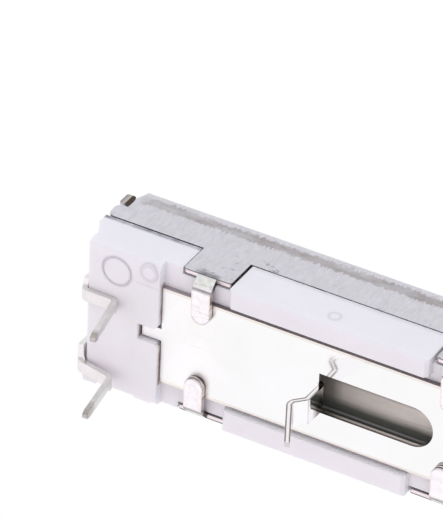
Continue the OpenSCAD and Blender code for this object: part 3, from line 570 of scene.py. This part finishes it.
MATERIALS = {
    "steel_cover": steel_cover(),
    "nylon": nylon(),
    "tin_plate": tin_plate(),
    "tinned_strip": tinned_strip(),
    "phenolic": phenolic(),
    "carbon_ink": ink("carbon_ink", (0.012, 0.012, 0.014), (0.03, 0.03, 0.032), 0.0, 0.42),
    "silver_ink": ink("silver_ink", (0.50, 0.50, 0.48), (0.66, 0.66, 0.63), 0.8, 0.4),
    "rivet_brass": rivet_brass(),
    "acetal": acetal(),
    "steel_lever": steel_lever(),
    "bronze": bronze(),
}

# Width in mm of the edge rounding that each pressed or moulded piece gets
EDGES = {
    "cover": 0.08, "housing": 0.05, "bottom_plate": 0.05, "terminal_1": 0.04, "terminal_2": 0.04,
    "terminal_3": 0.04, "carrier": 0.06, "lever": 0.08, "resistor_board": 0.03,
}
WELD_GAP = 0.002  # corners nearer than this, in mm, are one corner
SHARP_ANGLE = math.radians(35)


def dress_nodes():
    for part in frame["record"]["subparts"]:
        node = frame["nodes"][part["node"]]
        node.data.materials.clear()
        node.data.materials.append(MATERIALS[part["material_slot"]])
        if part["node"] not in EDGES:
            continue
        weld = node.modifiers.new("weld", "WELD")
        weld.merge_threshold = WELD_GAP * MM
        bevel = node.modifiers.new("bevel", "BEVEL")
        bevel.width = EDGES[part["node"]] * MM
        bevel.segments = 2
        bevel.limit_method = "ANGLE"
        bevel.angle_limit = SHARP_ANGLE
        bevel.harden_normals = True


# ---- Fine detail on the fixed body ----


def solid_piece(name, body, slot, rings):
    """A closed form through rings of points in mm, each ring joined to the next one."""
    mesh = bpy.data.meshes.new(name)
    form = bmesh.new()
    made = [[form.verts.new(Vector(p) * MM) for p in ring] for ring in rings]
    for ring, following in zip(made, made[1:]):
        count = len(ring)
        for i in range(count):
            after = (i + 1) % count
            form.faces.new((ring[i], ring[after], following[after], following[i]))
    form.faces.new(list(reversed(made[0])))
    form.faces.new(made[-1])
    bmesh.ops.recalc_face_normals(form, faces=form.faces)
    form.to_mesh(mesh)
    form.free()
    for face in mesh.polygons:
        face.use_smooth = True
    piece = bpy.data.objects.new(name, mesh)
    bpy.context.scene.collection.objects.link(piece)
    mesh.materials.append(MATERIALS[slot])
    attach(piece, body)


THREAD_WALL = 1.27  # radius of the thread's foot, sunk a little into the collar's wall
THREAD_CREST = 1.13
THREAD_PITCH = 0.45
THREAD_TOP = -0.22
THREAD_TURNS = 2
THREAD_STEPS = 36  # rings to a turn
THREAD_RUNOUT = 9  # rings over which the ridge rises and falls
THREAD_FOOT_HALF = 0.19
THREAD_CREST_HALF = 0.03


def make_thread(name, centre_x):
    """Screw thread standing in from the wall of a tapped collar: a ridge along a helix."""
    last = THREAD_TURNS * THREAD_STEPS
    rings = []
    for i in range(last + 1):
        angle = 2 * math.pi * i / THREAD_STEPS
        z = THREAD_TOP - THREAD_PITCH * i / THREAD_STEPS
        height = max(min(1.0, i / THREAD_RUNOUT, (last - i) / THREAD_RUNOUT), 0.05)
        crest = THREAD_WALL - (THREAD_WALL - THREAD_CREST) * height
        profile = (
            (THREAD_WALL, z - THREAD_FOOT_HALF),
            (crest + 0.02, z - THREAD_CREST_HALF),
            (crest, z),
            (crest + 0.02, z + THREAD_CREST_HALF),
            (THREAD_WALL, z + THREAD_FOOT_HALF),
        )
        rings.append([(centre_x + r * math.cos(angle), r * math.sin(angle), h) for r, h in profile])
    solid_piece(name, "frame", "steel_cover", rings)


GATE_FACE_Y = -4.33  # the side block's outer face
GATE_STEPS = 28
# Radius of each ring of the gate mark, and how far it stands out of the face
GATE_PROFILE = ((0.34, -0.06), (0.34, 0.0), (0.31, 0.025), (0.2, 0.025), (0.17, 0.008), (0.02, 0.004))


def make_gate_mark(name):
    """Low round mark left by the mould's gate on a side block."""
    turns = [2 * math.pi * i / GATE_STEPS for i in range(GATE_STEPS)]
    rings = [
        [(GATE_X + r * math.cos(t), GATE_FACE_Y - out, GATE_Z + r * math.sin(t)) for t in turns]
        for r, out in GATE_PROFILE
    ]
    solid_piece(name, "frame", "nylon", rings)


# ---- Floor, light and background, in metres ----

FLOOR_HALF = 3.0
FLOOR_DEPTH = 1.6
FLOOR_FADE = (0.5, 1.4)  # distances from the middle between which the floor fades to white


def make_floor():
    mesh = bpy.data.meshes.new("floor")
    form = bmesh.new()
    bmesh.ops.create_grid(form, x_segments=8, y_segments=8, size=FLOOR_HALF)
    form.to_mesh(mesh)
    form.free()
    floor = bpy.data.objects.new("floor", mesh)
    floor.location = (0, 0, -FLOOR_DEPTH)
    bpy.context.scene.collection.objects.link(floor)
    s = Surface("floor", Roughness=0.9)
    s.set(Base_Color=s.mix(s.span(s.noise(3.0), 0.3, 0.7), (0.86, 0.86, 0.86), (0.88, 0.88, 0.88)))
    # White in metal and glass, and for the camera away from the middle
    rays = s.node("ShaderNodeLightPath").outputs
    faded = s.times(s.span(s.distance(s.x, s.y), *FLOOR_FADE), rays["Is Camera Ray"])
    seen = s.math("MAXIMUM", rays["Is Glossy Ray"], rays["Is Transmission Ray"])
    glow = s.node("ShaderNodeEmission", {"Color": (1, 1, 1, 1), "Strength": 1.0})
    mixed = s.node("ShaderNodeMixShader", {"Fac": s.math("MAXIMUM", seen, faded)})
    s.tree.links.new(s.shader.outputs["BSDF"], mixed.inputs[1])
    s.tree.links.new(glow.outputs["Emission"], mixed.inputs[2])
    s.tree.links.new(mixed.outputs["Shader"], s.output.inputs["Surface"])
    mesh.materials.append(s.material)


def make_light(name, place, aim, size, power, color):
    data = bpy.data.lights.new(name, "AREA")
    data.shape = "DISK"
    data.size = size
    data.energy = power
    data.color = color
    light = bpy.data.objects.new(name, data)
    light.location = place
    light.rotation_mode = "QUATERNION"
    light.rotation_quaternion = (Vector(aim) - Vector(place)).to_track_quat("-Z", "Y")
    light.visible_camera = False
    bpy.context.scene.collection.objects.link(light)


def make_world():
    """Soft light of nearly white, which the camera, metal and glass see as plain white."""
    world = bpy.data.worlds.new("world")
    world.use_nodes = True
    tree = world.node_tree
    tree.nodes.clear()
    mixed = tree.nodes.new("ShaderNodeMixShader")
    for side, color, strength in ((1, (0.95, 0.955, 1.0, 1), 0.99), (2, (1, 1, 1, 1), 1.0)):
        sky = tree.nodes.new("ShaderNodeBackground")
        sky.inputs["Color"].default_value = color
        sky.inputs["Strength"].default_value = strength
        tree.links.new(sky.outputs["Background"], mixed.inputs[side])
    rays = tree.nodes.new("ShaderNodeLightPath").outputs
    seen = rays["Is Camera Ray"]
    for kind in ("Is Glossy Ray", "Is Transmission Ray"):
        either = tree.nodes.new("ShaderNodeMath")
        either.operation = "MAXIMUM"
        tree.links.new(seen, either.inputs[0])
        tree.links.new(rays[kind], either.inputs[1])
        seen = either.outputs[0]
    tree.links.new(seen, mixed.inputs["Fac"])
    output = tree.nodes.new("ShaderNodeOutputWorld")
    tree.links.new(mixed.outputs["Shader"], output.inputs["Surface"])
    bpy.context.scene.world = world


make_camera()
dress_nodes()
make_thread("thread_left", -SCREW_X)
make_thread("thread_right", SCREW_X)
make_gate_mark("gate_mark")
make_floor()
make_world()
make_light("key", place=(-0.10, 0.05, -0.60), aim=(0, 0, 0), size=0.6, power=0.6, color=(1.0, 0.92, 0.94))
bpy.context.scene.view_settings.view_transform = "Standard"
